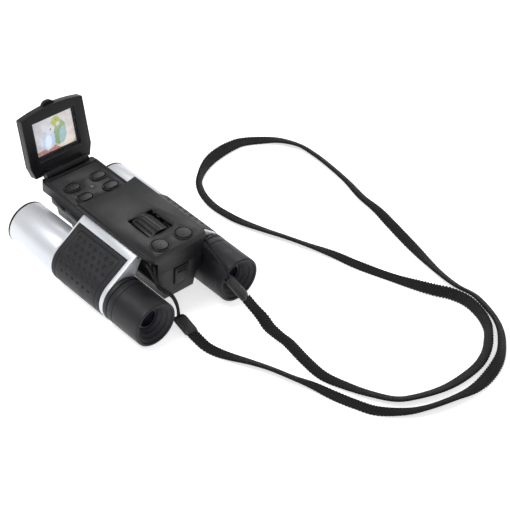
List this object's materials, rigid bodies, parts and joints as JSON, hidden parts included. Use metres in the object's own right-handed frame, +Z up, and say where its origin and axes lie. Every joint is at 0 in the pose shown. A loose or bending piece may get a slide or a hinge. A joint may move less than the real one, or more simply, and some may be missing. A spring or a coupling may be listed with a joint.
{
  "type": "digital binoculars",
  "caption": "Compact binoculars with a built-in camera: folding barrels, focus wheel, fold-up screen, panel buttons and a looped neck strap.",
  "frame": {"origin": "middle of the plan of the instrument, without its strap, on the surface it stands on", "axes": "+X to the user's right, +Y forward along the barrels towards the objectives, +Z up"},
  "size_m": [0.2366, 0.32, 0.0879],
  "materials": {
    "case_plastic": "matt, fine moulded texture",
    "key_plastic": "satin",
    "silver_paint": "satin silver paint",
    "soft_rubber": "matt",
    "black_ring": "satin",
    "coated_glass": "coated, purple cast",
    "clear_glass": "polished",
    "inner_plastic": "matt",
    "eyepiece_metal": "black anodised",
    "steel": "plain",
    "bridge_metal": "machined",
    "brass": "machined",
    "board": "solder mask",
    "cell_wrap": null,
    "lamp_plastic": "clear red",
    "display": null,
    "webbing": "woven",
    "sleeve_leather": "smooth"
  },
  "bodies": {
    "casing": {"top_cover": "case_plastic", "bottom_cover": "case_plastic", "camera_shroud": "case_plastic", "hinge_bridge": "bridge_metal", "hinge_pins": "steel", "main_board": "board", "rear_switch_board": "board", "status_light": "lamp_plastic", "camera_barrel": "black_ring", "camera_lens": "coated_glass", "camera_ring": "bridge_metal", "image_sensor": "board", "battery_cells": "cell_wrap", "battery_contacts": "steel", "tripod_socket": "brass", "usb_socket": "steel", "strap_lugs": "steel", "case_screws": "steel", "strap": "webbing", "strap_sleeves": "sleeve_leather", "strap_loops": "webbing"},
    "wing_right": {"wing_shell_right": "silver_paint", "grip_right": "soft_rubber", "objective_tube_right": "silver_paint", "front_ring_right": "black_ring", "objective_lens_right": "coated_glass", "prism_holder_right": "inner_plastic", "prisms_right": "clear_glass", "eyepiece_right": "eyepiece_metal", "eye_lenses_right": "coated_glass", "eyecup_right": "soft_rubber"},
    "wing_left": {"wing_shell_left": "silver_paint", "grip_left": "soft_rubber", "objective_tube_left": "silver_paint", "front_ring_left": "black_ring", "objective_lens_left": "coated_glass", "prism_holder_left": "inner_plastic", "prisms_left": "clear_glass", "eyepiece_left": "eyepiece_metal", "eye_lenses_left": "coated_glass", "eyecup_left": "soft_rubber", "base_ring_left": "black_ring"},
    "dioptre": {"dioptre_ring": "black_ring"},
    "lid": {"lid_frame": "case_plastic", "lid_back": "case_plastic", "screen_panel": "display", "screen_window": "clear_glass"},
    "wheel": {"focus_wheel": "key_plastic", "focus_screw": "steel"},
    "carriage": {"focus_carriage": "bridge_metal"},
    "cell_right": {"focus_cell_right": "inner_plastic"},
    "cell_left": {"focus_cell_left": "inner_plastic"},
    "door": {"battery_door": "case_plastic"},
    "usb_flap": {"usb_cover": "soft_rubber"},
    "key_menu": {"menu_button": "key_plastic"},
    "key_mode": {"mode_button": "key_plastic"},
    "key_up": {"up_button": "key_plastic"},
    "key_down": {"down_button": "key_plastic"},
    "key_record": {"record_button": "key_plastic"},
    "key_snap": {"snap_button": "key_plastic"}
  },
  "joints": [
    {"name": "lid_hinge", "type": "hinge", "parent": "casing", "child": "lid", "pos_m": [0, 0.05697, 0.0447], "axis": [1, 0, 0], "range_deg": [-34, 106]},
    {"name": "fold_right", "type": "hinge", "parent": "casing", "child": "wing_right", "pos_m": [0.0215, -0.01803, 0.0424], "axis": [0, 1, 0], "range_deg": [0, 11]},
    {"name": "fold_left", "type": "hinge", "parent": "casing", "child": "wing_left", "pos_m": [-0.0215, -0.01803, 0.0424], "axis": [0, -1, 0], "range_deg": [0, 11]},
    {"name": "dioptre_turn", "type": "hinge", "parent": "wing_right", "child": "dioptre", "pos_m": [0.035, -0.04693, 0.0164], "axis": [0, 1, 0], "range_deg": [-30, 30]},
    {"name": "focus_turn", "type": "hinge", "parent": "casing", "child": "wheel", "pos_m": [0, -0.03043, 0.0396], "axis": [0, 1, 0], "range_deg": [-180, 180]},
    {"name": "carriage_slide", "type": "slide", "parent": "casing", "child": "carriage", "axis": [0, 1, 0], "range_m": [-0.002, 0.002]},
    {"name": "cell_slide_right", "type": "slide", "parent": "wing_right", "child": "cell_right", "axis": [0, 1, 0], "range_m": [-0.002, 0.002]},
    {"name": "cell_slide_left", "type": "slide", "parent": "wing_left", "child": "cell_left", "axis": [0, 1, 0], "range_m": [-0.002, 0.002]},
    {"name": "press_menu", "type": "slide", "parent": "casing", "child": "key_menu", "axis": [0, 0, -1], "range_m": [0, 0.0006], "stiffness_N_per_m": 1500, "springref_m": -0.0003},
    {"name": "press_mode", "type": "slide", "parent": "casing", "child": "key_mode", "axis": [0, 0, -1], "range_m": [0, 0.0006], "stiffness_N_per_m": 1500, "springref_m": -0.0003},
    {"name": "press_up", "type": "slide", "parent": "casing", "child": "key_up", "axis": [0, 0, -1], "range_m": [0, 0.0006], "stiffness_N_per_m": 1500, "springref_m": -0.0003},
    {"name": "press_down", "type": "slide", "parent": "casing", "child": "key_down", "axis": [0, 0, -1], "range_m": [0, 0.0006], "stiffness_N_per_m": 1500, "springref_m": -0.0003},
    {"name": "press_record", "type": "slide", "parent": "casing", "child": "key_record", "axis": [0, 0, -1], "range_m": [0, 0.0006], "stiffness_N_per_m": 1500, "springref_m": -0.0003},
    {"name": "press_snap", "type": "slide", "parent": "casing", "child": "key_snap", "axis": [0, 0, -1], "range_m": [0, 0.0006], "stiffness_N_per_m": 1500, "springref_m": -0.0003},
    {"name": "door_hinge", "type": "hinge", "parent": "casing", "child": "door", "pos_m": [0, -0.02183, 0.013], "axis": [-1, 0, 0], "range_deg": [0, 100]},
    {"name": "usb_flap_hinge", "type": "hinge", "parent": "casing", "child": "usb_flap", "pos_m": [0.0016, -0.06063, 0.0217], "axis": [1, 0, 0], "range_deg": [0, 100]}
  ],
  "couplings": [
    {"joint": "focus_turn", "follows": "carriage_slide", "rad_per_m": 1570.8},
    {"joint": "cell_slide_right", "follows": "carriage_slide", "ratio": 1},
    {"joint": "cell_slide_left", "follows": "carriage_slide", "ratio": 1}
  ]
}
